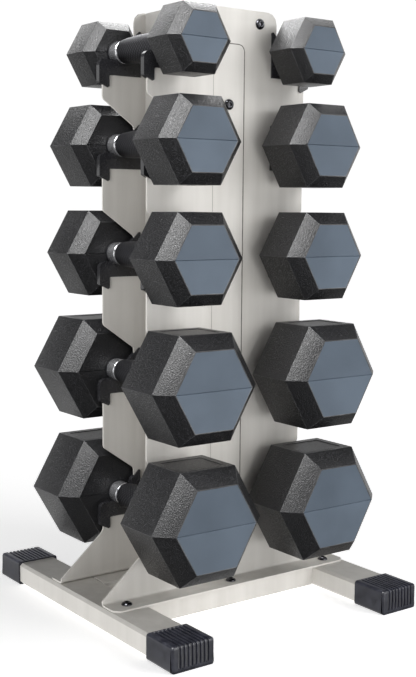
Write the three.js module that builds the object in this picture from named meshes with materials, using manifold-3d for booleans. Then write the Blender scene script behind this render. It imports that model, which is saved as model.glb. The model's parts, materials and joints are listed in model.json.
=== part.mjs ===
// A loaded dumbbell rack: two profiled steel panels stand back to back on a welded base frame,
// joined by a folded spine, and carry five pairs of hexagonal dumbbells in plastic saddles.
// Units are millimetres. +Z is up, -Y is the front, +X is to the right.
// The origin is on the floor in the middle of the footprint.
import * as THREE from 'three';
import { mergeVertices } from 'three/addons/utils/BufferGeometryUtils.js';
import Module from 'manifold-3d';

const wasm = await Module();
wasm.setup();

// ---- Driving dimensions ----

const GAP = 0.3; // clearance between pieces that touch
const LARGE_RADIUS = 4; // corners from this radius up are drawn as arcs

// Base frame: two runners along Y, two crossbars along X, all of one tube height.
const RUNNER_X = 138.4;
const RUNNER_WIDTH = 46;
const TUBE_BOTTOM = 1.3;
const TUBE_TOP = 25.3;
const TUBE_WALL = 1.5;
const TUBE_CORNER = 3;
const CROSSBAR_NEAR = 19;
const CROSSBAR_FAR = 63;

// End caps: sleeves over the runner ends, ribbed on the top and the end.
const CAP_END_Y = 181.2;
const CAP_LENGTH = 45;
const CAP_WIDTH = 50;
const CAP_HEIGHT = 27.2;
const CAP_EDGE_RADIUS = 4;
const CAP_END_WALL = 3;
const CAP_GROOVES = 8;
const CAP_GROOVE_WIDTH = 2.4;
const CAP_GROOVE_DEPTH = 0.8;
const CAP_PLAIN_SIDE = 7;
const CAP_PLAIN_BOTTOM = 4;

// Panels: flat sheet with a foot flange bent outwards.
const PANEL_FACE_Y = 45;
const SHEET = 2;
const TOWER_HALF_WIDTH = 64;
const WING_HALF_WIDTH = 104;
const PANEL_TOP = 649.5;
const TOWER_CORNER = 12;
const WING_DROP = 28; // fall of a wing's slanted lower edge from tip to tower
const SKIRT_HALF_WIDTH = 158;
const SKIRT_TOP = 77.6;
const SKIRT_BEND = 12;
const SKIRT_EDGE = 31.5;
const FLANGE_BOTTOM = TUBE_TOP + GAP;
const FLANGE_FAR_Y = 71;
const FLANGE_CHAMFER = 6;
const BEND_RADIUS = 2;
const STRIP_HALF_WIDTH = 21;
const STRIP_BOTTOM = 60;
const STRIP_TOP = 613;
const STRIP_DEPTH = 0.7;
const STRIP_CORNER = 8;

// Bolts through the panels into the spine, and through the flanges into the base frame.
const BOLT_HOLE_RADIUS = 3.3;
const FACE_BOLTS = [[-40.6, 636.2], [40.6, 636.2], [0, 548.6]];
const FOOT_BOLTS_X = [-136, 0, 136];
const FOOT_BOLT_Y = 57;

// Spine: a rectangular column folded from sheet, open at both ends.
const SPINE_HALF_WIDTH = 52;
const SPINE_HALF_DEPTH = 41.7;
const SPINE_WALL = 1.5;
const SPINE_TOP = 648.5;

// Handles: plain collars at both ends of a swelling grip.
const COLLAR_RADIUS = 12.4;
const COLLAR_LENGTH = 15;
const GRIP_END_RADIUS = 13.2;
const GRIP_MIDDLE_RADIUS = 14.8;
const GRIP_SWELL = 0.4; // the grip is fullest over this part of its length
const HANDLE_SIDES = 16;

// Heads: hexagonal prisms, chamfered round both ends in proportion to their width.
const CHAMFER_ACROSS = 0.13;
const CHAMFER_ALONG = 0.125;

// Saddles: plastic edge trims that wrap a wing's tip and cradle a handle's collar.
const SADDLE_THICKNESS = 6;
const SADDLE_OUTER_X = 109.3;
const SADDLE_LEG_INNER_X = 96.5;
const SADDLE_TOWER_X = 56.5;
const CRADLE_RADIUS = 12.8;
const CRADLE_POINTS = 8;
const CRADLE_FLOOR = 5; // plastic under the cradle
const LIP_BELOW_AXIS = 8.6;
const FACE_BELOW_AXIS = 25.3;
const LEG_BELOW_AXIS = 33.6;
const LEG_END_SLANT = 6;
const PRONG_HEIGHT = 23.5;
const SADDLE_CORNER = 7;

// Tiers from the top down: where a handle's axis lies, where the wing's sharp lower corner lies,
// and the dumbbell's width across corners, half length and the half distance between its heads.
const TIERS = [
  { axisX: 78.0, axisZ: 605.4, wingCorner: 555, width: 78.0, halfLength: 108.5, gripHalf: 54.0 },
  { axisX: 82.4, axisZ: 505.5, wingCorner: 435, width: 101.5, halfLength: 121.0, gripHalf: 50.0 },
  { axisX: 83.1, axisZ: 387.9, wingCorner: 310, width: 108.0, halfLength: 123.0, gripHalf: 50.0 },
  { axisX: 84.0, axisZ: 258.5, wingCorner: 172.5, width: 128.5, halfLength: 138.0, gripHalf: 50.0 },
  { axisX: 81.5, axisZ: 118.3, wingCorner: null, width: 136.0, halfLength: 141.0, gripHalf: 49.0 },
];

const NOTCH_BELOW_AXIS = CRADLE_RADIUS + CRADLE_FLOOR;
const LEFT = -1;
const RIGHT = 1;
const SIDES = [['left', LEFT], ['right', RIGHT]];
const ENDS = [['front', -1], ['rear', 1]];

// ---- Materials ----

const finish = (color, roughness, metalness) =>
  new THREE.MeshStandardMaterial({ color, roughness, metalness });

const powderCoat = finish(0xd6d2ca, 0.45, 0.1);
const saddlePlastic = finish(0x141417, 0.45, 0);
const capRubber = finish(0x1a1b20, 0.7, 0);
const headRubber = finish(0x27282d, 0.8, 0);
const chrome = finish(0xb9bdc6, 0.25, 1);

// ---- Geometry helpers ----

// Turns corner points with a radius each into an outline whose corners are arcs.
// A radius below LARGE_RADIUS is small enough for one straight facet.
function roundedOutline(corners) {
  const points = [];
  corners.forEach(([x, y, radius = 0], index) => {
    const corner = new THREE.Vector2(x, y);
    if (radius === 0) {
      points.push(corner);
      return;
    }
    const steps = radius < LARGE_RADIUS ? 1 : 3;
    const before = corners[(index + corners.length - 1) % corners.length];
    const after = corners[(index + 1) % corners.length];
    const toBefore = new THREE.Vector2(before[0] - x, before[1] - y).normalize();
    const toAfter = new THREE.Vector2(after[0] - x, after[1] - y).normalize();
    const halfAngle = Math.acos(toBefore.dot(toAfter)) / 2;
    const bisector = toBefore.clone().add(toAfter).normalize();
    const centre = corner.clone().addScaledVector(bisector, radius / Math.sin(halfAngle));
    const tangent = radius / Math.tan(halfAngle);
    const first = corner.clone().addScaledVector(toBefore, tangent).sub(centre);
    const last = corner.clone().addScaledVector(toAfter, tangent).sub(centre);
    const turn = Math.atan2(first.cross(last), first.dot(last));
    for (let step = 0; step <= steps; step += 1) {
      const spoke = first.clone().rotateAround(new THREE.Vector2(), (turn * step) / steps);
      points.push(spoke.add(centre));
    }
  });
  return points;
}

function circleOutline(x, y, radius, sides = 8) {
  return Array.from({ length: sides }, (_, index) => {
    const angle = (2 * Math.PI * index) / sides;
    return new THREE.Vector2(x + radius * Math.cos(angle), y + radius * Math.sin(angle));
  });
}

const extrude = (outline, depth) =>
  new THREE.ExtrudeGeometry(new THREE.Shape(outline), { depth, bevelEnabled: false });

// An outline in (X, Z) made solid from y0 to y1.
const alongY = (outline, y0, y1) => extrude(outline, y1 - y0).rotateX(Math.PI / 2).translate(0, y1, 0);

// An outline in (X, Y) made solid from z0 to z1.
const alongZ = (outline, z0, z1) => extrude(outline, z1 - z0).translate(0, 0, z0);

// An outline in (Y, Z) made solid from x0 to x1.
function alongX(outline, x0, x1) {
  const turn = new THREE.Matrix4().makeBasis(
    new THREE.Vector3(0, 1, 0),
    new THREE.Vector3(0, 0, 1),
    new THREE.Vector3(1, 0, 0),
  );
  return extrude(outline, x1 - x0).applyMatrix4(turn).translate(x0, 0, 0);
}

const rectangle = (x0, y0, x1, y1, radius = 0) =>
  roundedOutline([[x0, y0, radius], [x1, y0, radius], [x1, y1, radius], [x0, y1, radius]]);

function toSolid(geometry) {
  geometry.deleteAttribute('normal');
  geometry.deleteAttribute('uv');
  const merged = mergeVertices(geometry, 1e-4);
  return new wasm.Manifold(new wasm.Mesh({
    numProp: 3,
    vertProperties: new Float32Array(merged.attributes.position.array),
    triVerts: new Uint32Array(merged.index.array),
  }));
}

function toGeometry(solid) {
  const mesh = solid.getMesh();
  const geometry = new THREE.BufferGeometry();
  geometry.setAttribute('position', new THREE.BufferAttribute(mesh.vertProperties, 3));
  geometry.setIndex(new THREE.BufferAttribute(mesh.triVerts, 1));
  geometry.computeVertexNormals();
  return geometry;
}

const join = (solids) => solids.reduce((whole, piece) => whole.add(piece));
const cut = (solid, tools) => tools.reduce((rest, tool) => rest.subtract(tool), solid);

function named(name, geometry, material) {
  const mesh = new THREE.Mesh(geometry, material);
  mesh.name = name;
  return mesh;
}

// ---- Base frame ----

// The hollow of a tube that lies between two side faces.
const tubeInside = (side0, side1) => rectangle(
  side0 + TUBE_WALL,
  TUBE_BOTTOM + TUBE_WALL,
  side1 - TUBE_WALL,
  TUBE_TOP - TUBE_WALL,
  TUBE_CORNER,
);

function baseFrame() {
  const halfLength = CAP_END_Y - CAP_END_WALL - GAP;
  const runnerInner = RUNNER_X - RUNNER_WIDTH / 2;
  const outers = [];
  const hollows = [];
  for (const [, side] of SIDES) {
    const x0 = side * RUNNER_X - RUNNER_WIDTH / 2;
    const x1 = x0 + RUNNER_WIDTH;
    const outer = rectangle(x0, TUBE_BOTTOM, x1, TUBE_TOP, TUBE_CORNER);
    const inner = tubeInside(x0, x1);
    outers.push(toSolid(alongY(outer, -halfLength, halfLength)));
    hollows.push(toSolid(alongY(inner, -halfLength - 1, halfLength + 1)));
  }
  for (const [, end] of ENDS) {
    const near = Math.min(end * CROSSBAR_NEAR, end * CROSSBAR_FAR);
    const far = near + CROSSBAR_FAR - CROSSBAR_NEAR;
    const outer = rectangle(near, TUBE_BOTTOM, far, TUBE_TOP, TUBE_CORNER);
    const inner = tubeInside(near, far);
    outers.push(toSolid(alongX(outer, -runnerInner - 0.5, runnerInner + 0.5)));
    hollows.push(toSolid(alongX(inner, -runnerInner + 0.1, runnerInner - 0.1)));
    for (const x of FOOT_BOLTS_X) {
      const hole = circleOutline(x, end * FOOT_BOLT_Y, BOLT_HOLE_RADIUS);
      hollows.push(toSolid(alongZ(hole, TUBE_TOP - 2 * TUBE_WALL, TUBE_TOP + 1)));
    }
  }
  return toGeometry(cut(join(outers), hollows));
}

// ---- End caps ----

// Side view of a cap as (Y, Z), its closed end towards -Y, shrunk by `inset` on the top and the end.
const capOutline = (inset) => roundedOutline([
  [-CAP_END_Y + inset, 0],
  [-CAP_END_Y + CAP_LENGTH, 0],
  [-CAP_END_Y + CAP_LENGTH, CAP_HEIGHT - inset],
  [-CAP_END_Y + inset, CAP_HEIGHT - inset, CAP_EDGE_RADIUS],
]);

function endCap() {
  const halfWidth = CAP_WIDTH / 2;
  const firstGroove = -halfWidth + CAP_PLAIN_SIDE;
  const pitch = (CAP_WIDTH - 2 * CAP_PLAIN_SIDE - CAP_GROOVE_WIDTH) / (CAP_GROOVES - 1);
  const mouth = -CAP_END_Y + CAP_LENGTH;
  const sill = rectangle(-CAP_END_Y, 0, mouth, CAP_PLAIN_BOTTOM);
  const pieces = [
    toSolid(alongX(capOutline(CAP_GROOVE_DEPTH), -halfWidth, halfWidth)),
    toSolid(alongX(sill, -halfWidth, halfWidth)),
  ];
  let ribStart = -halfWidth;
  for (let groove = 0; groove <= CAP_GROOVES; groove += 1) {
    const ribEnd = groove < CAP_GROOVES ? firstGroove + groove * pitch : halfWidth;
    pieces.push(toSolid(alongX(capOutline(0), ribStart, ribEnd)));
    ribStart = ribEnd + CAP_GROOVE_WIDTH;
  }
  const halfSocket = RUNNER_WIDTH / 2 + GAP;
  const socket = rectangle(-halfSocket, TUBE_BOTTOM - GAP, halfSocket, TUBE_TOP + GAP, TUBE_CORNER);
  return cut(join(pieces), [toSolid(alongY(socket, -CAP_END_Y + CAP_END_WALL, mouth + 1))]);
}

// ---- Panels ----

// The right-hand edge of a panel from the flange up to the top, as corner points with radii.
function panelEdge() {
  const edge = [
    [SKIRT_HALF_WIDTH, FLANGE_BOTTOM + SHEET + BEND_RADIUS],
    [SKIRT_HALF_WIDTH, SKIRT_EDGE],
    [WING_HALF_WIDTH, SKIRT_TOP, SKIRT_BEND],
  ];
  for (const tier of [...TIERS].reverse()) {
    const notch = tier.axisZ - NOTCH_BELOW_AXIS;
    if (tier.wingCorner !== null) {
      edge.push([TOWER_HALF_WIDTH, tier.wingCorner - WING_DROP, 5]);
      edge.push([WING_HALF_WIDTH, tier.wingCorner, 5]);
    }
    edge.push([WING_HALF_WIDTH, notch, 3]);
    edge.push([TOWER_HALF_WIDTH, notch]);
  }
  edge.push([TOWER_HALF_WIDTH, PANEL_TOP, TOWER_CORNER]);
  return edge;
}

const mirrored = (corners) => corners.map(([x, y, radius]) => [-x, y, radius]).reverse();

// The front panel; the rear one is the same piece turned round.
function panel() {
  const edge = panelEdge();
  const front = -PANEL_FACE_Y;
  const plate = alongY(roundedOutline([...edge, ...mirrored(edge)]), front, front + SHEET);

  const bendCentre = [front - BEND_RADIUS, FLANGE_BOTTOM + SHEET + BEND_RADIUS];
  const bend = (radius) => Array.from({ length: 7 }, (_, step) => {
    const angle = (-Math.PI / 2) * (step / 6);
    return new THREE.Vector2(
      bendCentre[0] + radius * Math.cos(angle),
      bendCentre[1] + radius * Math.sin(angle),
    );
  });
  const flangeSection = [
    new THREE.Vector2(front + SHEET, SKIRT_EDGE),
    ...bend(BEND_RADIUS + SHEET),
    new THREE.Vector2(-FLANGE_FAR_Y, FLANGE_BOTTOM),
    new THREE.Vector2(-FLANGE_FAR_Y, FLANGE_BOTTOM + SHEET),
    ...bend(BEND_RADIUS).reverse(),
    new THREE.Vector2(front, SKIRT_EDGE),
  ];
  const flangePlan = [
    [-SKIRT_HALF_WIDTH, front + SHEET + 1],
    [-SKIRT_HALF_WIDTH, -FLANGE_FAR_Y + FLANGE_CHAMFER, 3],
    [-SKIRT_HALF_WIDTH + FLANGE_CHAMFER, -FLANGE_FAR_Y, 3],
    [SKIRT_HALF_WIDTH - FLANGE_CHAMFER, -FLANGE_FAR_Y, 3],
    [SKIRT_HALF_WIDTH, -FLANGE_FAR_Y + FLANGE_CHAMFER, 3],
    [SKIRT_HALF_WIDTH, front + SHEET + 1],
  ];
  const flange = toSolid(alongX(flangeSection, -SKIRT_HALF_WIDTH, SKIRT_HALF_WIDTH))
    .intersect(toSolid(alongZ(roundedOutline(flangePlan), FLANGE_BOTTOM - 1, SKIRT_EDGE + 1)));

  // A shallow strip pressed inwards: it is sunk in front and stands proud behind.
  const strip = (grow) => roundedOutline([
    [-STRIP_HALF_WIDTH - grow, STRIP_BOTTOM - grow],
    [STRIP_HALF_WIDTH + grow, STRIP_BOTTOM - grow],
    [STRIP_HALF_WIDTH + grow, STRIP_TOP + grow, STRIP_CORNER],
    [-STRIP_HALF_WIDTH - grow, STRIP_TOP + grow, STRIP_CORNER],
  ]);
  const back = front + SHEET;
  const raised = toSolid(alongY(strip(1), back - 0.5, back + STRIP_DEPTH));
  const sunk = toSolid(alongY(strip(0), front - 1, front + STRIP_DEPTH));

  const holes = FACE_BOLTS.map(([x, z]) =>
    toSolid(alongY(circleOutline(x, z, BOLT_HOLE_RADIUS), front - 2, back + 2)));
  for (const x of FOOT_BOLTS_X) {
    const hole = circleOutline(x, -FOOT_BOLT_Y, BOLT_HOLE_RADIUS);
    holes.push(toSolid(alongZ(hole, FLANGE_BOTTOM - 1, FLANGE_BOTTOM + SHEET + 1)));
  }
  return cut(join([toSolid(plate), flange, raised]), [sunk, ...holes]);
}

// ---- Spine ----

function spineColumn() {
  const outer = rectangle(-SPINE_HALF_WIDTH, -SPINE_HALF_DEPTH, SPINE_HALF_WIDTH, SPINE_HALF_DEPTH, 3);
  const innerX = SPINE_HALF_WIDTH - SPINE_WALL;
  const innerY = SPINE_HALF_DEPTH - SPINE_WALL;
  const inner = rectangle(-innerX, -innerY, innerX, innerY, 1.5);
  const bottom = TUBE_TOP + GAP;
  const tools = [toSolid(alongZ(inner, bottom - 1, SPINE_TOP + 1))];
  for (const [x, z] of FACE_BOLTS) {
    const hole = circleOutline(x, z, BOLT_HOLE_RADIUS);
    tools.push(toSolid(alongY(hole, -SPINE_HALF_DEPTH - 1, SPINE_HALF_DEPTH + 1)));
  }
  return toGeometry(cut(toSolid(alongZ(outer, bottom, SPINE_TOP)), tools));
}

// ---- Saddles ----

// A saddle on the front panel, drawn on the right and mirrored for the left.
function saddle({ axisX, axisZ }, side) {
  const lip = axisZ - LIP_BELOW_AXIS;
  const prongTop = axisZ + PRONG_HEIGHT;
  const cradleInner = axisX - CRADLE_RADIUS;
  const prongRun = cradleInner - SADDLE_TOWER_X - 2;
  const leg = [
    [SADDLE_TOWER_X, axisZ - FACE_BELOW_AXIS],
    [SADDLE_LEG_INNER_X, axisZ - FACE_BELOW_AXIS, 1],
    [SADDLE_LEG_INNER_X, axisZ - LEG_BELOW_AXIS - LEG_END_SLANT, 1.5],
    [SADDLE_OUTER_X, axisZ - LEG_BELOW_AXIS, 1.5],
    [SADDLE_OUTER_X, lip, SADDLE_CORNER],
  ];
  const startAngle = -Math.asin(LIP_BELOW_AXIS / CRADLE_RADIUS);
  const cradle = Array.from({ length: CRADLE_POINTS }, (_, step) => {
    const angle = startAngle - ((Math.PI + startAngle) * step) / (CRADLE_POINTS - 1);
    return [axisX + CRADLE_RADIUS * Math.cos(angle), axisZ + CRADLE_RADIUS * Math.sin(angle)];
  });
  const prong = [
    [cradleInner, prongTop - prongRun, 2],
    [SADDLE_TOWER_X + 2, prongTop, 1],
    [SADDLE_TOWER_X, prongTop, 0.8],
  ];
  const outline = [...leg, ...cradle, ...prong].map(([x, z, radius]) => [side * x, z, radius]);
  const slot = [
    [side * (WING_HALF_WIDTH + GAP), axisZ - LEG_BELOW_AXIS - 2 * LEG_END_SLANT],
    [side * (WING_HALF_WIDTH + GAP), axisZ - NOTCH_BELOW_AXIS + GAP],
    [side * (TOWER_HALF_WIDTH + GAP), axisZ - NOTCH_BELOW_AXIS + GAP],
    [side * (TOWER_HALF_WIDTH + GAP), prongTop + 10],
    [side * (SADDLE_TOWER_X - 10), prongTop + 10],
    [side * (SADDLE_TOWER_X - 10), axisZ - LEG_BELOW_AXIS - 2 * LEG_END_SLANT],
  ];
  const middle = -PANEL_FACE_Y + SHEET / 2;
  const near = middle - SADDLE_THICKNESS / 2;
  const far = middle + SADDLE_THICKNESS / 2;
  const body = alongY(roundedOutline(outline), near, far);
  const groove = alongY(roundedOutline(slot), middle - SHEET / 2 - GAP, middle + SHEET / 2 + GAP);
  return cut(toSolid(body), [toSolid(groove)]);
}

// ---- Dumbbells ----

// A profile of [radius, distance along Y] pairs turned about the Y axis.
function turned(profile, sides, startAngle = 0) {
  const points = profile.map(([radius, y]) => new THREE.Vector2(radius, y));
  return new THREE.LatheGeometry(points, sides, startAngle);
}

function handle(tier) {
  const end = tier.gripHalf - GAP;
  const collarEnd = end - COLLAR_LENGTH;
  const half = [
    [0, end],
    [COLLAR_RADIUS, end],
    [COLLAR_RADIUS, collarEnd],
    [GRIP_END_RADIUS, collarEnd],
    [GRIP_MIDDLE_RADIUS, collarEnd * GRIP_SWELL],
  ];
  const profile = [...half.map(([radius, y]) => [radius, -y]), ...half.reverse()];
  return turned(profile, HANDLE_SIDES);
}

function head(tier, end) {
  const corner = tier.width / 2;
  const flat = corner - CHAMFER_ACROSS * tier.width;
  const slope = CHAMFER_ALONG * tier.width;
  const near = Math.min(end * tier.gripHalf, end * tier.halfLength);
  const far = near + tier.halfLength - tier.gripHalf;
  const profile = [[0, near], [flat, near], [corner, near + slope], [corner, far - slope], [flat, far], [0, far]];
  return turned(profile, 6, Math.PI / 2);
}

// ---- Assembly ----

const rack = new THREE.Group();
rack.add(named('base_frame', baseFrame(), powderCoat));
rack.add(named('spine_column', spineColumn(), powderCoat));

const panelGeometry = toGeometry(panel());
const rearPanel = named('rear_panel', panelGeometry, powderCoat);
rearPanel.rotation.z = Math.PI;
rack.add(named('front_panel', panelGeometry, powderCoat), rearPanel);

const capGeometry = toGeometry(endCap());
for (const [endName, end] of ENDS) {
  for (const [sideName, side] of SIDES) {
    const cap = named(`end_cap_${endName}_${sideName}`, capGeometry, capRubber);
    cap.position.x = side * RUNNER_X;
    cap.rotation.z = end > 0 ? Math.PI : 0;
    rack.add(cap);
  }
}

TIERS.forEach((tier, index) => {
  const number = index + 1;
  for (const [sideName, side] of SIDES) {
    for (const [endName, end] of ENDS) {
      // A rear saddle is the front saddle of the other side turned round with its panel.
      const drawnSide = end < 0 ? side : -side;
      const trim = toGeometry(saddle(tier, drawnSide));
      const saddleMesh = named(`saddle_${endName}_${sideName}_${number}`, trim, saddlePlastic);
      saddleMesh.rotation.z = end > 0 ? Math.PI : 0;
      rack.add(saddleMesh);
    }
    const dumbbell = new THREE.Group();
    dumbbell.position.set(side * tier.axisX, 0, tier.axisZ);
    dumbbell.add(named(`handle_${sideName}_${number}`, handle(tier), chrome));
    for (const [endName, end] of ENDS) {
      dumbbell.add(named(`head_${sideName}_${number}_${endName}`, head(tier, end), headRubber));
    }
    rack.add(dumbbell);
  }
});

export default rack;
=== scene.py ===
"""Looks for the loaded dumbbell rack: materials, finely made pieces, floor, light and camera."""
import json
import math

import bmesh
import bpy
from mathutils import Matrix, Vector


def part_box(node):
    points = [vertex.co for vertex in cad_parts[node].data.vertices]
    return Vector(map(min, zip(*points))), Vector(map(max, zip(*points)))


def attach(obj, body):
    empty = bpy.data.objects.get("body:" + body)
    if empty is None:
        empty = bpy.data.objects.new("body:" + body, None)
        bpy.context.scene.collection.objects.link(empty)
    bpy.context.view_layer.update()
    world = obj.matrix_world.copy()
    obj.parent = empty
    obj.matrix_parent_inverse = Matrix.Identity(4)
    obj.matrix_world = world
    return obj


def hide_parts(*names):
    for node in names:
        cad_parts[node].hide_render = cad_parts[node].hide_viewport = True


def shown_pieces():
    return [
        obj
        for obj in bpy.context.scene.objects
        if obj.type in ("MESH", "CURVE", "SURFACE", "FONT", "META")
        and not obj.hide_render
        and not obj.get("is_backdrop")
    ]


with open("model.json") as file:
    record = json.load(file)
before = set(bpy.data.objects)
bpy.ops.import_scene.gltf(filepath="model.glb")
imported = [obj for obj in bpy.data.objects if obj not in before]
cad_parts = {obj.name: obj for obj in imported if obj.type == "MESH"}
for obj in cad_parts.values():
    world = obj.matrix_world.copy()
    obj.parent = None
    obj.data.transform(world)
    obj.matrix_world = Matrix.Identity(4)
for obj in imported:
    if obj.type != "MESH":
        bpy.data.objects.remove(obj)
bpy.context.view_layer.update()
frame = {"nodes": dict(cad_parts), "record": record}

MM = 0.001
SIDES = {"left": -1, "right": 1}
ENDS = {"front": -1, "rear": 1}
TIERS = range(1, 6)

PANEL_FACE = 45 * MM  # distance of a panel's outer face from the middle of the rack, along Y


# ---- Node materials ----

class Nodes:
    """A material with a Principled shader, and short calls to add and link nodes."""

    def __init__(self, name, color, roughness, metallic=0.0, coat=0.0):
        self.material = bpy.data.materials.new(name)
        self.material.use_nodes = True
        self.tree = self.material.node_tree
        self.shader = self.tree.nodes["Principled BSDF"]
        self.set(self.shader, {
            "Base Color": (*color, 1),
            "Roughness": roughness,
            "Metallic": metallic,
            "Coat Weight": coat,
        })
        self.coordinates = self.add("ShaderNodeTexCoord")

    def set(self, node, values):
        for name, value in values.items():
            node.inputs[name].default_value = value

    def add(self, kind, values=None, **settings):
        node = self.tree.nodes.new(kind)
        for name, value in settings.items():
            setattr(node, name, value)
        self.set(node, values or {})
        return node

    def link(self, source, target):
        self.tree.links.new(source, target)

    def noise(self, scale, detail=3.0):
        node = self.add("ShaderNodeTexNoise", {"Scale": scale, "Detail": detail})
        self.link(self.coordinates.outputs["Object"], node.inputs["Vector"])
        return node.outputs["Fac"]

    def cells(self, scale):
        """Distance from the middle of the nearest cell, for a pebbled grain."""
        node = self.add("ShaderNodeTexVoronoi", {"Scale": scale}, feature="SMOOTH_F1")
        self.link(self.coordinates.outputs["Object"], node.inputs["Vector"])
        return node.outputs["Distance"]

    def between(self, value, low_in, high_in, low, high):
        """Maps low_in to low and high_in to high, and holds the ends."""
        node = self.add("ShaderNodeMapRange", {
            "From Min": low_in, "From Max": high_in, "To Min": low, "To Max": high,
        })
        self.link(value, node.inputs["Value"])
        return node.outputs["Result"]

    def math(self, operation, first, second):
        node = self.add("ShaderNodeMath", operation=operation)
        for socket, value in zip(node.inputs, (first, second)):
            if isinstance(value, float):
                socket.default_value = value
            else:
                self.link(value, socket)
        return node.outputs["Value"]

    def mix(self, factor, dark, light):
        node = self.add("ShaderNodeMix", data_type="RGBA")
        for name, value in (("A", dark), ("B", light)):
            socket = next(s for s in node.inputs if s.name == name and s.type == "RGBA")
            if isinstance(value, tuple):
                socket.default_value = (*value, 1)
            else:
                self.link(value, socket)
        self.link(factor, node.inputs[0])
        return next(s for s in node.outputs if s.type == "RGBA")

    def bump(self, height, strength, distance):
        node = self.add("ShaderNodeBump", {"Strength": strength, "Distance": distance})
        self.link(height, node.inputs["Height"])
        self.link(node.outputs["Normal"], self.shader.inputs["Normal"])

    def to(self, output, socket):
        self.link(output, self.shader.inputs[socket])


def powder_coat():
    """Off-white satin powder coat: fine orange peel, faint upright streaks, and paler edges as a painted
    highlight.
    """
    m = Nodes("powder_coat", (0.68, 0.65, 0.60), 0.42)
    cloud = m.noise(9.0, 4.0)
    fleck = m.noise(1600.0, 2.0)
    convex_highlight = m.add("ShaderNodeNewGeometry").outputs["Pointiness"]
    upright = m.add("ShaderNodeMapping", {"Scale": (1.0, 1.0, 0.06)})
    m.link(m.coordinates.outputs["Object"], upright.inputs["Vector"])
    streaks = m.add("ShaderNodeTexNoise", {"Scale": 70.0, "Detail": 3.0})
    m.link(upright.outputs["Vector"], streaks.inputs["Vector"])
    half_streaks = m.math("MULTIPLY", streaks.outputs["Fac"], 0.5)
    patches = m.math("ADD", m.math("MULTIPLY", cloud, 0.5), half_streaks)
    shade = m.between(patches, 0.36, 0.64, 0.0, 1.0)
    tone = m.mix(shade, (0.545, 0.525, 0.49), (0.655, 0.635, 0.60))
    # Painted highlight: the convex edges are mixed paler.
    edge = m.between(convex_highlight, 0.56, 0.66, 0.0, 0.35)
    m.to(m.mix(edge, tone, (0.80, 0.78, 0.74)), "Base Color")
    m.to(m.between(fleck, 0.3, 0.7, 0.36, 0.50), "Roughness")
    m.bump(m.math("ADD", m.noise(900.0, 2.0), m.math("MULTIPLY", fleck, 0.5)), 0.12, 0.0002)
    return m.material


def pebbled_rubber():
    """The heads' sides: black rubber with a moulded pebble grain whose tips catch the light."""
    m = Nodes("pebbled_rubber", (0.005, 0.005, 0.006), 0.34)
    m.set(m.shader, {"Specular IOR Level": 0.42})
    tips = m.between(m.cells(740.0), 0.15, 0.6, 1.0, 0.0)
    speck = m.between(m.noise(880.0, 1.0), 0.52, 0.63, 0.0, 1.0)
    drift = m.between(m.noise(14.0, 3.0), 0.35, 0.65, 0.0, 1.0)
    tone = m.mix(drift, (0.0018, 0.0018, 0.0022), (0.004, 0.004, 0.0046))
    m.to(m.mix(speck, tone, (0.020, 0.020, 0.022)), "Base Color")
    m.to(m.between(speck, 0.0, 1.0, 0.42, 0.24), "Roughness")
    m.bump(m.math("ADD", tips, m.math("MULTIPLY", speck, 0.8)), 0.62, 0.0002)
    return m.material


def highlight_edge_rubber():
    """The heads' rounded edges: the grain is smoother there, and the grey is a painted highlight where the
    edges catch the light.
    """
    m = Nodes("highlight_edge_rubber", (0.04, 0.04, 0.043), 0.3)
    # Painted highlight: a grey that varies in patches along the rounded edges.
    highlight_patches = m.between(m.noise(55.0, 4.0), 0.35, 0.65, 0.0, 1.0)
    m.to(m.mix(highlight_patches, (0.030, 0.030, 0.032), (0.125, 0.125, 0.130)), "Base Color")
    m.to(m.between(m.noise(500.0), 0.3, 0.7, 0.22, 0.38), "Roughness")
    m.bump(m.noise(900.0), 0.2, 0.0001)
    return m.material


def end_rubber():
    """The heads' flat ends: smoother slate-tinted rubber with a fine matte grain."""
    m = Nodes("end_rubber", (0.073, 0.098, 0.128), 0.55)
    m.set(m.shader, {"Specular IOR Level": 0.3})
    cloud = m.noise(20.0, 3.0)
    fleck = m.noise(2200.0, 2.0)
    drift = m.between(cloud, 0.35, 0.65, 0.0, 1.0)
    tone = m.mix(drift, (0.044, 0.059, 0.079), (0.055, 0.073, 0.097))
    pale = m.between(fleck, 0.45, 0.75, 0.0, 0.4)
    m.to(m.mix(pale, tone, (0.075, 0.094, 0.118)), "Base Color")
    m.to(m.between(fleck, 0.3, 0.7, 0.48, 0.62), "Roughness")
    m.bump(fleck, 0.25, 0.0002)
    return m.material


def smooth_rubber():
    """The plates on top of the heads and the bosses round the collars: rubber moulded smooth."""
    m = Nodes("smooth_rubber", (0.02, 0.02, 0.023), 0.38)
    m.set(m.shader, {"Specular IOR Level": 0.25})
    drift = m.between(m.noise(60.0), 0.3, 0.7, 0.0, 1.0)
    m.to(m.mix(drift, (0.004, 0.004, 0.005), (0.012, 0.012, 0.014)), "Base Color")
    m.to(m.between(m.noise(800.0), 0.3, 0.7, 0.30, 0.46), "Roughness")
    m.bump(m.noise(1200.0), 0.15, 0.0002)
    return m.material


def chrome():
    """Bright plated collars with faint turning marks."""
    m = Nodes("chrome", (0.80, 0.81, 0.84), 0.18, metallic=0.94)
    stretch = m.add("ShaderNodeMapping", {"Scale": (1.0, 60.0, 1.0)})
    m.link(m.coordinates.outputs["Object"], stretch.inputs["Vector"])
    rings = m.add("ShaderNodeTexNoise", {"Scale": 60.0, "Detail": 2.0})
    m.link(stretch.outputs["Vector"], rings.inputs["Vector"])
    m.to(m.between(rings.outputs["Fac"], 0.3, 0.7, 0.12, 0.26), "Roughness")
    m.to(m.mix(m.noise(35.0), (0.74, 0.75, 0.78), (0.88, 0.88, 0.90)), "Base Color")
    m.bump(rings.outputs["Fac"], 0.08, 0.0001)
    return m.material


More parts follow.
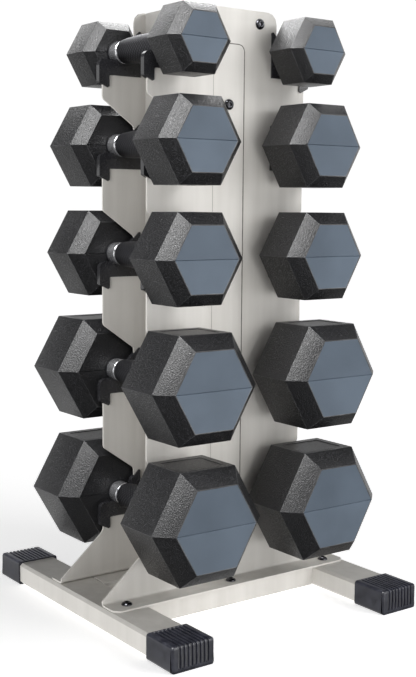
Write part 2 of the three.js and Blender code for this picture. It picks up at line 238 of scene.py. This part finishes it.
def knurled_steel():
    """Dark plated grip: the diamonds are in the mesh, and the cuts between them are darker as painted
    shade.
    """
    m = Nodes("knurled_steel", (0.08, 0.08, 0.09), 0.40, metallic=1.0)
    # Painted shade: the hollow cuts between the diamonds are mixed darker.
    height = m.between(m.add("ShaderNodeNewGeometry").outputs["Pointiness"], 0.47, 0.54, 0.0, 1.0)
    dust = m.noise(700.0, 3.0)
    cut = m.math("MULTIPLY", height, m.between(dust, 0.3, 0.7, 0.6, 1.0))
    m.to(m.mix(cut, (0.003, 0.003, 0.004), (0.12, 0.12, 0.13)), "Base Color")
    m.to(m.between(dust, 0.3, 0.7, 0.46, 0.62), "Roughness")
    m.bump(m.noise(1500.0), 0.2, 0.0002)
    return m.material


def saddle_plastic():
    """Black moulded plastic with a soft gloss and a trace of flow marks."""
    m = Nodes("saddle_plastic", (0.010, 0.010, 0.011), 0.30, coat=0.15)
    flow = m.noise(45.0, 3.0)
    m.to(m.mix(flow, (0.006, 0.006, 0.007), (0.018, 0.018, 0.020)), "Base Color")
    m.to(m.between(m.noise(500.0), 0.3, 0.7, 0.16, 0.30), "Roughness")
    m.bump(m.noise(700.0), 0.10, 0.0002)
    return m.material


def cap_rubber():
    """Black rubber with a low gloss and a little dust in patches."""
    m = Nodes("cap_rubber", (0.012, 0.013, 0.016), 0.4)
    m.set(m.shader, {"Specular IOR Level": 0.6})
    dust = m.noise(120.0, 4.0)
    patches = m.between(dust, 0.35, 0.75, 0.0, 1.0)
    m.to(m.mix(patches, (0.007, 0.0075, 0.012), (0.018, 0.019, 0.028)), "Base Color")
    m.to(m.between(dust, 0.3, 0.7, 0.30, 0.46), "Roughness")
    m.bump(m.noise(1000.0), 0.2, 0.0002)
    return m.material


def bolt_steel():
    """Black-oxide button-head bolts."""
    m = Nodes("bolt_steel", (0.05, 0.05, 0.055), 0.16, metallic=1.0)
    m.to(m.mix(m.noise(300.0), (0.025, 0.025, 0.027), (0.10, 0.10, 0.11)), "Base Color")
    m.to(m.between(m.noise(900.0), 0.3, 0.7, 0.10, 0.24), "Roughness")
    m.bump(m.noise(1100.0), 0.08, 0.0001)
    return m.material


def painted_shade_line():
    """Painted shade: a dark grey-brown for the shadow line in the corner round the pressed strip."""
    m = Nodes("painted_shade_line", (0.10, 0.095, 0.085), 0.8)
    patches = m.between(m.noise(150.0), 0.3, 0.7, 0.0, 1.0)
    m.to(m.mix(patches, (0.05, 0.047, 0.042), (0.16, 0.15, 0.135)), "Base Color")
    m.to(m.between(m.noise(600.0), 0.3, 0.7, 0.7, 0.9), "Roughness")
    m.bump(m.noise(1200.0), 0.2, 0.0001)
    return m.material


POWDER_COAT = powder_coat()
PEBBLED = pebbled_rubber()
END_RUBBER = end_rubber()
SMOOTH_RUBBER = smooth_rubber()
HIGHLIGHT_EDGE_RUBBER = highlight_edge_rubber()
CHROME = chrome()
KNURLED = knurled_steel()
SADDLE = saddle_plastic()
CAP = cap_rubber()
BOLT = bolt_steel()
SHADE_LINE = painted_shade_line()


# ---- Mesh helpers ----

BEVEL_ANGLE = 25  # degrees; an edge that turns less than this stays as it is
SMOOTH_ANGLE = 40  # degrees; an edge that turns more than this looks sharp


def new_object(name, verts, faces, materials, face_slots=None):
    mesh = bpy.data.meshes.new(name)
    mesh.from_pydata(verts, [], faces)
    for material in materials:
        mesh.materials.append(material)
    if face_slots:
        mesh.polygons.foreach_set("material_index", face_slots)
    obj = bpy.data.objects.new(name, mesh)
    bpy.context.scene.collection.objects.link(obj)
    return obj


def outward(obj):
    """Turns every face of a closed mesh outwards."""
    work = bmesh.new()
    work.from_mesh(obj.data)
    bmesh.ops.recalc_face_normals(work, faces=work.faces)
    work.to_mesh(obj.data)
    work.free()


def bevel(obj, width):
    modifier = obj.modifiers.new("bevel", "BEVEL")
    modifier.width = width
    modifier.segments = 3
    modifier.limit_method = "ANGLE"
    modifier.angle_limit = math.radians(BEVEL_ANGLE)
    modifier.harden_normals = True
    obj.data.shade_smooth()


def smooth(obj, angle=SMOOTH_ANGLE):
    """Shades a mesh smooth across edges that turn less than angle, in degrees."""
    obj.data.shade_smooth()
    bpy.context.view_layer.objects.active = obj
    obj.select_set(True)
    bpy.ops.object.shade_smooth_by_angle(angle=math.radians(angle))
    obj.select_set(False)


def turned(name, profile, sides, centre, materials, slots):
    """A profile of (radius, y) turned about an axis along Y through centre, with flat ends.

    Each step of the profile takes its material from slots.
    """
    verts = []
    faces = []
    face_slots = []
    for radius, y in profile:
        for side in range(sides):
            turn = 2 * math.pi * side / sides
            verts.append((
                centre[0] + radius * math.cos(turn),
                centre[1] + y,
                centre[2] + radius * math.sin(turn),
            ))
    for ring in range(len(profile) - 1):
        for side in range(sides):
            after = (side + 1) % sides
            faces.append((
                ring * sides + side, ring * sides + after,
                (ring + 1) * sides + after, (ring + 1) * sides + side,
            ))
            face_slots.append(slots[ring])
    faces.append(tuple(range(sides)))
    faces.append(tuple(range((len(profile) - 1) * sides, len(profile) * sides)))
    face_slots += [face_slots[0], face_slots[-1]]
    obj = new_object(name, verts, faces, materials, face_slots)
    outward(obj)
    return obj


# ---- Heads ----

# Material slots of a head; its pebbled sides have slot 0.
END_SLOT = 1
SMOOTH_SLOT = 2
EDGE_SLOT = 3
CHAMFER_ACROSS = 0.13  # the chamfer's run towards the axis, as a share of the head's width
CHAMFER_ALONG = 0.125  # its run along the axis, as a share of the head's width
LIP = 0.9 * MM  # width of the lip between a head's chamfer and its slate end
SLATE_STEP = 0.15 * MM  # how far the slate end lies below the lip
ROUNDING = 0.85 * MM
HARD_TURN = 20  # degrees; an edge that turns more is rounded
SHORTEST_EDGE = 3 * MM  # a shorter edge is not rounded
PARTING_HALF_WIDTH = 0.5 * MM
PARTING_DEPTH = 0.6 * MM
PLATE_MARGIN = 0.09  # margin round the plate on top, as a share of the head's width
PLATE_WALL_RUN = 0.4 * MM
PLATE_DEPTH = 0.5 * MM
HEAD_SMOOTH_ANGLE = 28


def hexagon(radius, y, centre):
    """Six corners, the first at +X, about an axis along Y."""
    return [
        Vector((centre[0] + radius * math.cos(math.radians(60 * k)), y,
                centre[2] + radius * math.sin(math.radians(60 * k))))
        for k in range(6)
    ]


def round_edges(work):
    """Rounds the long edges of the prism and its chamfers."""
    hard = [
        edge for edge in work.edges
        if len(edge.link_faces) == 2 and edge.calc_face_angle() > math.radians(HARD_TURN)
        and edge.calc_length() > SHORTEST_EDGE
    ]
    # The rounded edges take the edge material, whose grey is a painted highlight.
    bmesh.ops.bevel(work, geom=hard, offset=ROUNDING, segments=3, profile=0.5, affect="EDGES",
                    clamp_overlap=True, material=EDGE_SLOT)


def sink_top_plate(work, width):
    """A plain recessed plate on the flat on top."""
    upward = (face for face in work.faces if face.normal.z > 0.99)
    top = max(upward, key=lambda face: face.calc_area())
    bmesh.ops.inset_individual(work, faces=[top], thickness=PLATE_MARGIN * width, depth=0.0)
    bmesh.ops.inset_individual(work, faces=[top], thickness=PLATE_WALL_RUN, depth=-PLATE_DEPTH)
    top.material_index = SMOOTH_SLOT


def cut_parting_line(work, centre, inner, outer, sign):
    """A narrow groove all round the head at mid height, across its ends too."""
    for offset in (-PARTING_HALF_WIDTH, 0.0, PARTING_HALF_WIDTH):
        geometry = list(work.verts) + list(work.edges) + list(work.faces)
        bmesh.ops.bisect_plane(work, geom=geometry, plane_co=(0, 0, centre[2] + offset),
                               plane_no=(0, 0, 1), dist=1e-7)
    for vert in work.verts:
        if abs(vert.co.z - centre[2]) >= 1e-6:
            continue
        if abs(vert.co.y - outer) < PARTING_DEPTH:
            vert.co.y -= sign * PARTING_DEPTH
        elif abs(vert.co.y - inner) < PARTING_DEPTH:
            vert.co.y += sign * PARTING_DEPTH
        elif vert.co.x < centre[0]:
            vert.co.x += PARTING_DEPTH
        else:
            vert.co.x -= PARTING_DEPTH


def head(side, number, end):
    """A rubber-coated hexagonal head with a slate end, a plate on top and a parting line."""
    node = f"head_{side}_{number}_{end}"
    low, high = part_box(node)
    width = high[0] - low[0]
    centre = [(low[0] + high[0]) / 2, 0.0, (low[2] + high[2]) / 2]
    sign = ENDS[end]
    outer = high[1] if sign > 0 else low[1]
    inner = low[1] if sign > 0 else high[1]
    full = width / 2
    flat = full - CHAMFER_ACROSS * width
    slope = CHAMFER_ALONG * width * sign
    rings = [
        (flat, inner), (full, inner + slope), (full, outer - slope), (flat, outer),
    ]
    work = bmesh.new()
    levels = [[work.verts.new(corner) for corner in hexagon(radius, y, centre)] for radius, y in rings]
    for first, second in zip(levels, levels[1:]):
        for k in range(6):
            work.faces.new((first[k], first[(k + 1) % 6], second[(k + 1) % 6], second[k]))
    inner_face = work.faces.new(levels[0])
    outer_face = work.faces.new(levels[-1])
    bmesh.ops.recalc_face_normals(work, faces=work.faces)

    # The slate face on the outer end, a hair lower than the lip round it; a flat lip on the inner end.
    bmesh.ops.inset_individual(work, faces=[outer_face], thickness=LIP, depth=0.0)
    outer_face.material_index = END_SLOT
    bmesh.ops.inset_individual(work, faces=[outer_face], thickness=SLATE_STEP, depth=-SLATE_STEP)
    bmesh.ops.inset_individual(work, faces=[inner_face], thickness=LIP, depth=0.0)

    round_edges(work)
    sink_top_plate(work, width)
    cut_parting_line(work, centre, inner, outer, sign)
    mesh = bpy.data.meshes.new(f"rubber_{side}_{number}_{end}")
    work.to_mesh(mesh)
    work.free()
    for material in (PEBBLED, END_RUBBER, SMOOTH_RUBBER, HIGHLIGHT_EDGE_RUBBER):
        mesh.materials.append(material)
    obj = bpy.data.objects.new(f"rubber_{side}_{number}_{end}", mesh)
    bpy.context.scene.collection.objects.link(obj)
    smooth(obj, HEAD_SMOOTH_ANGLE)
    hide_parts(node)
    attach(obj, f"dumbbell_{side}_{number}")


# ---- Handles ----

COLLAR_RADIUS = 12.4 * MM
COLLAR_LENGTH = 15.3 * MM
COLLAR_LIP = 2.4 * MM  # length of the lip between a collar and the grip
COLLAR_SIDES = 64
GRIP_END_RADIUS = 13.2 * MM
GRIP_MIDDLE_RADIUS = 14.8 * MM
KNURL_DEPTH = 0.5 * MM
KNURL_ROWS = 84
KNURL_SIDES = 120
KNURL_DIAMONDS = 20  # diamonds round the grip
SWELL_OVERRUN = 1 * MM  # how far past the grip's ends the swelling's curve runs
GRIP_END_DIP = 0.6 * MM  # how far the grip's end rows drop
GRIP_SMOOTH_ANGLE = 50
# Material slots of a collar.
PLATED_SLOT = 0
BOSS_SLOT = 1


def grip_radius(share):
    """Radius at the bottom of the knurl, at a share (-1 to 1) of the grip's half length."""
    bulge = math.cos(share * math.pi / 2) ** 0.8
    return GRIP_END_RADIUS + (GRIP_MIDDLE_RADIUS - GRIP_END_RADIUS) * bulge - KNURL_DEPTH


def grip(side, number):
    """The swelling grip with a diamond knurl cut into its mesh."""
    low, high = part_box(f"handle_{side}_{number}")
    x, z = (low[0] + high[0]) / 2, (low[2] + high[2]) / 2
    half = (high[1] - low[1]) / 2 - COLLAR_LENGTH - COLLAR_LIP
    verts = []
    faces = []
    for row in range(KNURL_ROWS + 1):
        y = -half + 2 * half * row / KNURL_ROWS
        base = grip_radius(y / (half + SWELL_OVERRUN))
        edge = row in (0, KNURL_ROWS)
        for k in range(KNURL_SIDES):
            turn = 2 * math.pi * k / KNURL_SIDES
            across = turn * KNURL_DIAMONDS / 2
            along = y / GRIP_MIDDLE_RADIUS * KNURL_DIAMONDS / 2
            height = abs(math.sin(across + along)) * abs(math.sin(across - along))
            radius = base - GRIP_END_DIP if edge else base + KNURL_DEPTH * height
            verts.append((x + radius * math.cos(turn), y, z + radius * math.sin(turn)))
    for row in range(KNURL_ROWS):
        for k in range(KNURL_SIDES):
            after = (k + 1) % KNURL_SIDES
            faces.append((
                row * KNURL_SIDES + k, row * KNURL_SIDES + after,
                (row + 1) * KNURL_SIDES + after, (row + 1) * KNURL_SIDES + k,
            ))
    faces.append(tuple(range(KNURL_SIDES)))
    faces.append(tuple(range(KNURL_ROWS * KNURL_SIDES, (KNURL_ROWS + 1) * KNURL_SIDES)))
    obj = new_object(f"grip_{side}_{number}", verts, faces, [KNURLED])
    outward(obj)
    smooth(obj, GRIP_SMOOTH_ANGLE)
    return obj


def collar(side, number, end):
    """A plated collar with a lip next to the grip, and a rubber boss next to the head."""
    low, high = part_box(f"handle_{side}_{number}")
    x, z = (low[0] + high[0]) / 2, (low[2] + high[2]) / 2
    tip = (high[1] - low[1]) / 2
    ring = tip - COLLAR_LENGTH
    r = COLLAR_RADIUS
    # Radius, distance from the handle's middle, and material of the step that starts there.
    steps = [
        (r - 1.6 * MM, ring - 3.0 * MM, PLATED_SLOT),
        (r, ring - COLLAR_LIP, PLATED_SLOT),
        (r + 0.3 * MM, ring - 1.4 * MM, PLATED_SLOT),
        (r, ring - 0.4 * MM, PLATED_SLOT),
        (r - 0.6 * MM, ring, PLATED_SLOT),
        (r - 0.6 * MM, ring + 0.8 * MM, PLATED_SLOT),
        (r - 0.1 * MM, ring + 1.2 * MM, PLATED_SLOT),
        (r, ring + 2.0 * MM, PLATED_SLOT),
        (r, tip - 1.3 * MM, PLATED_SLOT),
        (r - 0.4 * MM, tip - 1.0 * MM, BOSS_SLOT),
        (r + 0.6 * MM, tip - 0.9 * MM, BOSS_SLOT),
        (r + 0.8 * MM, tip - 0.6 * MM, BOSS_SLOT),
        (r + 0.8 * MM, tip, BOSS_SLOT),
    ]
    profile = [(radius, ENDS[end] * y) for radius, y, _ in steps]
    slots = [slot for _, _, slot in steps[:-1]]
    obj = turned(f"collar_{side}_{number}_{end}", profile, COLLAR_SIDES, (x, 0, z),
                 [CHROME, SMOOTH_RUBBER], slots)
    smooth(obj)
    return obj


def handle(side, number):
    """The grip and its two collars, in place of the plain handle."""
    pieces = [grip(side, number)] + [collar(side, number, end) for end in ENDS]
    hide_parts(f"handle_{side}_{number}")
    for piece in pieces:
        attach(piece, f"dumbbell_{side}_{number}")


# ---- End caps ----

CAP_RADIUS = 3.2 * MM  # of the rounded edges
CAP_GROOVES = 8
CAP_PITCH = 4.7 * MM
CAP_GROOVE_WIDTH = 2.5 * MM
CAP_GROOVE_DEPTH = 2.0 * MM
CAP_WALL_RUN = 0.25 * MM  # run of a groove's slanted wall


def groove_stations():
    """(x, share of the groove's depth) across a cap, with a steep wall at each side of a groove."""
    stations = []
    for index in range(CAP_GROOVES):
        middle = (index - (CAP_GROOVES - 1) / 2) * CAP_PITCH
        half = CAP_GROOVE_WIDTH / 2
        stations += [
            (middle - half - CAP_WALL_RUN, 0.0), (middle - half, 0.9), (middle - half * 0.7, 1.0),
            (middle + half * 0.7, 1.0), (middle + half, 0.9), (middle + half + CAP_WALL_RUN, 0.0),
        ]
    return stations


def cap_profile(length, height):
    """A cap's side view from the mouth, along the top, down the end and back along the bottom.

    Each point is (y, z, normal, share of the groove's depth).
    """
    points = [
        (0.0, height, (0, 1), 0.0),
        (-1.2 * MM, height, (0, 1), 0.0),
        (-2.2 * MM, height, (0, 1), 1.0),
    ]
    for step in range(7):
        turn = math.pi / 2 * step / 6
        normal = (-math.sin(turn), math.cos(turn))
        points.append((
            -length + CAP_RADIUS + CAP_RADIUS * normal[0],
            height - CAP_RADIUS + CAP_RADIUS * normal[1], normal, 1.0,
        ))
    points += [
        (-length, 5.4 * MM, (-1, 0), 1.0),
        (-length, 4.4 * MM, (-1, 0), 0.6),
        (-length, 4.0 * MM, (-1, 0), 0.0),
        (-length, 1.4 * MM, (-1, 0), 0.0),
        (-length + 0.4 * MM, 0.4 * MM, (-0.7, -0.7), 0.0),
        (-length + 1.4 * MM, 0.0, (0, -1), 0.0),
        (0.0, 0.0, (0, -1), 0.0),
    ]
    return points


def end_cap(end, side):
    """A rubber cap with rounded edges and grooves that run along the top and down the end."""
    node = f"end_cap_{end}_{side}"
    low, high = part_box(node)
    half = (high[0] - low[0]) / 2
    profile = cap_profile(high[1] - low[1], high[2])
    rounding = []
    for step in range(6):
        turn = math.pi / 2 * step / 5
        from_side = CAP_RADIUS * (1 - math.sin(turn))
        from_top = CAP_RADIUS * (1 - math.cos(turn))
        rounding.append((-half + from_side, from_top))
    columns = [(x, inset, 0.0) for x, inset in reversed(rounding)]
    columns += [(x, 0.0, share) for x, share in groove_stations()]
    columns += [(-x, inset, 0.0) for x, inset in rounding]
    columns.sort(key=lambda column: (column[0], -column[1]))
    middle = (low[0] + high[0]) / 2
    sign = ENDS[end]
    mouth = low[1] if sign > 0 else high[1]
    verts = []
    faces = []
    for x, inset, share in columns:
        for y, z, normal, cut in profile:
            depth = inset + CAP_GROOVE_DEPTH * share * cut
            verts.append((
                middle + x,
                mouth - sign * min(0.0, y - normal[0] * depth),
                max(0.0, z - normal[1] * depth),
            ))
    count = len(profile)
    for column in range(len(columns) - 1):
        for point in range(count - 1):
            first = column * count + point
            faces.append((first, first + 1, first + count + 1, first + count))
        first = column * count
        faces.append((first, first + count, first + 2 * count - 1, first + count - 1))
    faces.append(tuple(range(count)))
    faces.append(tuple(range((len(columns) - 1) * count, len(columns) * count)))
    obj = new_object(f"cap_{end}_{side}", verts, faces, [CAP])
    outward(obj)
    smooth(obj)
    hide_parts(node)
    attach(obj, "rack")


# ---- Seams ----

STRIP_HALF_WIDTH = 21 * MM
STRIP_BOTTOM = 60 * MM
STRIP_TOP = 613 * MM
STRIP_DEPTH = 0.7 * MM
STRIP_CORNER = 8 * MM
SEAM_CLEARANCE = 0.02 * MM
SEAM_HEIGHT = 0.25 * MM
SEAM_RIDGE_WIDTH = 0.45 * MM
SEAM_FOOT_WIDTH = 0.9 * MM


def strip_outline(inset):
    """The strip's outline in X and Z, with rounded upper corners, drawn inwards by inset."""
    half = STRIP_HALF_WIDTH - inset
    top = STRIP_TOP - inset
    radius = STRIP_CORNER - inset
    points = [(-half, STRIP_BOTTOM + inset), (half, STRIP_BOTTOM + inset)]
    for turn_side, start in ((1, 0), (-1, 90)):
        for step in range(9):
            turn = math.radians(start + 90 * step / 8)
            centre_x = turn_side * (half - radius)
            points.append((centre_x + radius * math.cos(turn), top - radius + radius * math.sin(turn)))
    return points


def seam(end):
    """A dark bead in the corner round a panel's pressed strip, painted shade for the shadow line there."""
    sign = ENDS[end]
    back = sign * (PANEL_FACE - STRIP_DEPTH + SEAM_CLEARANCE)
    front = sign * (PANEL_FACE - STRIP_DEPTH + SEAM_HEIGHT)
    loops = [
        [(x, back, z) for x, z in strip_outline(SEAM_CLEARANCE)],
        [(x, front, z) for x, z in strip_outline(SEAM_CLEARANCE)],
        [(x, front, z) for x, z in strip_outline(SEAM_RIDGE_WIDTH)],
        [(x, back, z) for x, z in strip_outline(SEAM_FOOT_WIDTH)],
    ]
    count = len(loops[0])
    verts = [point for loop in loops for point in loop]
    faces = []
    for loop in range(len(loops)):
        following = (loop + 1) % len(loops)
        for k in range(count):
            after = (k + 1) % count
            faces.append((
                loop * count + k, loop * count + after,
                following * count + after, following * count + k,
            ))
    # The bead is painted shade: a dark line standing in for the shadow in the corner.
    obj = new_object(f"strip_seam_{end}", verts, faces, [SHADE_LINE])
    outward(obj)
    smooth(obj)
    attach(obj, "rack")


# ---- Bolts ----

PANEL_BOLTS = [(-40.6 * MM, 636.2 * MM), (40.6 * MM, 636.2 * MM), (0.0, 548.6 * MM)]
FLANGE_BOLTS = [-136 * MM, 0.0, 136 * MM]
FLANGE_BOLT_Y = 57 * MM
FLANGE_TOP = 27.6 * MM
BOLT_LIFT = 0.05 * MM  # gap between a bolt's seat and the sheet
BOLT_RADIUS = 5.8 * MM
BOLT_HEIGHT = 3.0 * MM
BOLT_SIDES = 36
CROWN_FLAT_RADIUS = 3.0 * MM
SOCKET_HALF_WIDTH = 2.1 * MM  # half the width across the flats
SOCKET_RIM = 0.25 * MM  # drop from the crown to the socket's edge
SOCKET_DEPTH = 2.0 * MM
SOCKET_TAPER = 0.98


def socket_outline():
    """The hex socket's outline, with as many points as the head has sides."""
    points = []
    for k in range(BOLT_SIDES):
        turn = 2 * math.pi * k / BOLT_SIDES
        from_flat = (turn + math.pi / 6) % (math.pi / 3) - math.pi / 6
        radius = SOCKET_HALF_WIDTH / math.cos(from_flat)
        points.append((radius * math.cos(turn), radius * math.sin(turn)))
    return points


def bolt(name, centre, normal):
    """A button head with a hex socket, its seat at centre and its crown along normal."""
    work = bmesh.new()
    profile = [
        (BOLT_RADIUS, 0.0),
        (BOLT_RADIUS, 0.5 * MM),
        (BOLT_RADIUS * 0.94, 1.3 * MM),
        (BOLT_RADIUS * 0.80, 2.15 * MM),
        (BOLT_RADIUS * 0.62, 2.75 * MM),
        (CROWN_FLAT_RADIUS, BOLT_HEIGHT),
    ]
    turns = [2 * math.pi * k / BOLT_SIDES for k in range(BOLT_SIDES)]
    rings = []
    for radius, height in profile:
        rings.append([
            work.verts.new((radius * math.cos(turn), radius * math.sin(turn), height))
            for turn in turns
        ])
    socket = socket_outline()
    rings.append([work.verts.new((x, y, BOLT_HEIGHT - SOCKET_RIM)) for x, y in socket])
    rings.append([
        work.verts.new((x * SOCKET_TAPER, y * SOCKET_TAPER, BOLT_HEIGHT - SOCKET_DEPTH))
        for x, y in socket
    ])
    for first, second in zip(rings, rings[1:]):
        for k in range(BOLT_SIDES):
            after = (k + 1) % BOLT_SIDES
            work.faces.new((first[k], first[after], second[after], second[k]))
    work.faces.new(rings[0])
    work.faces.new(rings[-1])
    bmesh.ops.recalc_face_normals(work, faces=work.faces)
    tilt = Vector((0, 0, 1)).rotation_difference(Vector(normal)).to_matrix().to_4x4()
    bmesh.ops.transform(work, matrix=Matrix.Translation(centre) @ tilt, verts=work.verts)
    mesh = bpy.data.meshes.new(name)
    work.to_mesh(mesh)
    work.free()
    mesh.materials.append(BOLT)
    obj = bpy.data.objects.new(name, mesh)
    bpy.context.scene.collection.objects.link(obj)
    smooth(obj)
    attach(obj, "rack")


# ---- Build ----

for side in SIDES:
    for number in TIERS:
        handle(side, number)
        for end in ENDS:
            head(side, number, end)

for end, sign in ENDS.items():
    seam(end)
    for side in SIDES:
        end_cap(end, side)
    for index, (x, z) in enumerate(PANEL_BOLTS, 1):
        bolt(f"panel_bolt_{end}_{index}", (x, sign * (PANEL_FACE + BOLT_LIFT), z), (0, sign, 0))
    for index, x in enumerate(FLANGE_BOLTS, 1):
        bolt(f"flange_bolt_{end}_{index}", (x, sign * FLANGE_BOLT_Y, FLANGE_TOP + BOLT_LIFT), (0, 0, 1))

FINISHES = {"powder_coat": POWDER_COAT, "saddle_plastic": SADDLE}
EDGE_WIDTHS = {"powder_coat": 0.45 * MM, "saddle_plastic": 1.1 * MM}
slot_of = {part["node"]: part["material_slot"] for part in frame["record"]["subparts"]}
for node, obj in frame["nodes"].items():
    slot = slot_of[node]
    if slot in FINISHES:
        obj.data.materials.clear()
        obj.data.materials.append(FINISHES[slot])
        bevel(obj, EDGE_WIDTHS[slot])

# ---- Floor, light and camera ----

FLOOR_REACH = 9.0
# Strength of the floor's own glow, up to 0.25 m from the middle and beyond 1.2 m.
GLOW_NEAR = 0.66
GLOW_FAR = 0.90


def paper_floor():
    """A pale paper floor that glows a little, and more away from the rack. Glossy rays do not see it."""
    corners = [(-FLOOR_REACH, -FLOOR_REACH, 0), (FLOOR_REACH, -FLOOR_REACH, 0),
               (FLOOR_REACH, FLOOR_REACH, 0), (-FLOOR_REACH, FLOOR_REACH, 0)]
    m = Nodes("floor_paper", (0.9, 0.9, 0.9), 0.7)
    m.to(m.mix(m.noise(2.0), (0.88, 0.88, 0.88), (0.92, 0.92, 0.92)), "Base Color")
    m.set(m.shader, {"Emission Color": (1, 1, 1, 1), "Specular IOR Level": 0.1})
    distance = m.add("ShaderNodeVectorMath", operation="LENGTH")
    m.link(m.coordinates.outputs["Object"], distance.inputs[0])
    m.to(m.between(distance.outputs["Value"], 0.25, 1.2, GLOW_NEAR, GLOW_FAR), "Emission Strength")
    floor = new_object("floor", corners, [(0, 1, 2, 3)], [m.material])
    floor.visible_glossy = False
    floor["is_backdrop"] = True


# Strength of the world's light: a low white sweep, the ceiling, and the ground in front and behind.
SWEEP = 1.02
CEILING = 0.08
GROUND_FRONT = 0.15
GROUND_BEHIND = 1.6
GROUND_FAR_BEHIND = 0.45


def studio():
    """The world's light: a white sweep up to a low height all round, and a dim ceiling.

    Glossy rays pass the floor and see the ground below it, dark in front and pale behind.
    """
    world = bpy.data.worlds.new("studio")
    world.use_nodes = True
    tree = world.node_tree
    place = tree.nodes.new("ShaderNodeTexCoord")
    split = tree.nodes.new("ShaderNodeSeparateXYZ")
    tree.links.new(place.outputs["Generated"], split.inputs["Vector"])

    def ramp(axis, low_in, high_in, low, high):
        """Maps an axis of the direction smoothly to a strength; high may be another ramp."""
        node = tree.nodes.new("ShaderNodeMapRange")
        node.interpolation_type = "SMOOTHSTEP"
        for name, value in zip(("From Min", "From Max", "To Min", "To Max"), (low_in, high_in, low, high)):
            if isinstance(value, float):
                node.inputs[name].default_value = value
            else:
                tree.links.new(value, node.inputs[name])
        tree.links.new(split.outputs[axis], node.inputs["Value"])
        return node.outputs["Result"]

    above_ground = ramp("Z", -0.34, -0.10, 0.0, 1.0)
    sky = ramp("Z", 0.20, 0.34, SWEEP, CEILING)
    behind = ramp("Z", -0.62, -0.42, GROUND_BEHIND, GROUND_FAR_BEHIND)
    ground = ramp("Y", 0.2, 0.9, GROUND_FRONT, behind)
    blend = tree.nodes.new("ShaderNodeMix")
    tree.links.new(above_ground, blend.inputs["Factor"])
    tree.links.new(ground, blend.inputs["A"])
    tree.links.new(sky, blend.inputs["B"])
    tree.links.new(blend.outputs["Result"], tree.nodes["Background"].inputs["Strength"])
    tree.nodes["Background"].inputs["Color"].default_value = (1, 1, 1, 1)
    bpy.context.scene.world = world


def softbox(name, target, direction, distance, size, power, lit=None):
    """A square light that faces target from a distance along direction.

    With lit, it lights that collection only.
    """
    light = bpy.data.lights.new(name, "AREA")
    light.size = size
    light.energy = power
    obj = bpy.data.objects.new(name, light)
    away = Vector(direction).normalized()
    obj.location = Vector(target) + away * distance
    obj.rotation_euler = (-away).to_track_quat("-Z", "Y").to_euler()
    obj.visible_camera = False
    bpy.context.scene.collection.objects.link(obj)
    if lit:
        obj.light_linking.receiver_collection = lit


def light_rack():
    """Soft lights: some for the coated steel only, some for the other pieces only, some for all."""
    black_pieces = bpy.data.collections.new("black_pieces")
    light_pieces = bpy.data.collections.new("light_pieces")
    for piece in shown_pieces():
        coated = POWDER_COAT.name in piece.data.materials
        (light_pieces if coated else black_pieces).objects.link(piece)
    # left_fill leaves out the spine, which stands in shade between the panels.
    light_pieces.objects.unlink(frame["nodes"]["spine_column"])
    softbox("key_upper_left", (0.0, 0.0, 0.40), (-0.55, -0.32, 0.77), 2.0, 1.2, 86, black_pieces)
    softbox("overhead", (0.0, 0.0, 0.40), (0.17, 0.30, 0.94), 0.7, 0.42, 6, black_pieces)
    softbox("overhead_back", (0.0, 0.0, 0.40), (0.0, 0.64, 0.77), 0.7, 0.42, 1.5, black_pieces)
    softbox("overhead_right", (0.35, 0.05, 1.0), (0.585, -0.03, 0.81), 0.05, 0.3, 0.8, black_pieces)
    softbox("front_right", (0.0, -0.05, 0.30), (0.6, -1.0, 0.60), 2.0, 1.0, 17)
    softbox("low_front", (0.0, -0.05, 0.12), (0.2, -1.0, 0.05), 0.8, 0.6, 2.6)
    softbox("left_fill", (0.0, 0.0, 0.15), (-1.0, -0.35, 0.30), 1.6, 0.9, 8, light_pieces)
    softbox("low_left_fill", (-0.15, -0.10, 0.05), (-1.0, -0.30, 0.35), 0.8, 0.4, 0.8)


CAMERA_PLACE = (-0.7483, -1.0365, 0.4413)
CAMERA_YAW = math.radians(-36.10)
CAMERA_PITCH = math.radians(6.63)
CAMERA_ROLL = math.radians(0.46)
SENSOR_HEIGHT = 36
LENS = 60.815539


def aim_camera():
    """The camera: in front and to the left of the rack, looking a little down."""
    camera = bpy.data.cameras.new("camera")
    camera.sensor_fit = "VERTICAL"
    camera.sensor_height = SENSOR_HEIGHT
    camera.lens = LENS
    forward = Vector((
        -math.sin(CAMERA_YAW) * math.cos(CAMERA_PITCH),
        math.cos(CAMERA_YAW) * math.cos(CAMERA_PITCH),
        -math.sin(CAMERA_PITCH),
    ))
    level = Vector((math.cos(CAMERA_YAW), math.sin(CAMERA_YAW), 0))
    upright = level.cross(forward)
    right = math.cos(CAMERA_ROLL) * level + math.sin(CAMERA_ROLL) * upright
    up = -math.sin(CAMERA_ROLL) * level + math.cos(CAMERA_ROLL) * upright
    axes = Matrix((right, up, -forward)).transposed().to_4x4()
    obj = bpy.data.objects.new("camera", camera)
    obj.matrix_world = Matrix.Translation(CAMERA_PLACE) @ axes
    bpy.context.scene.collection.objects.link(obj)
    bpy.context.scene.camera = obj


paper_floor()
studio()
light_rack()
aim_camera()
bpy.context.scene.view_settings.view_transform = "Standard"
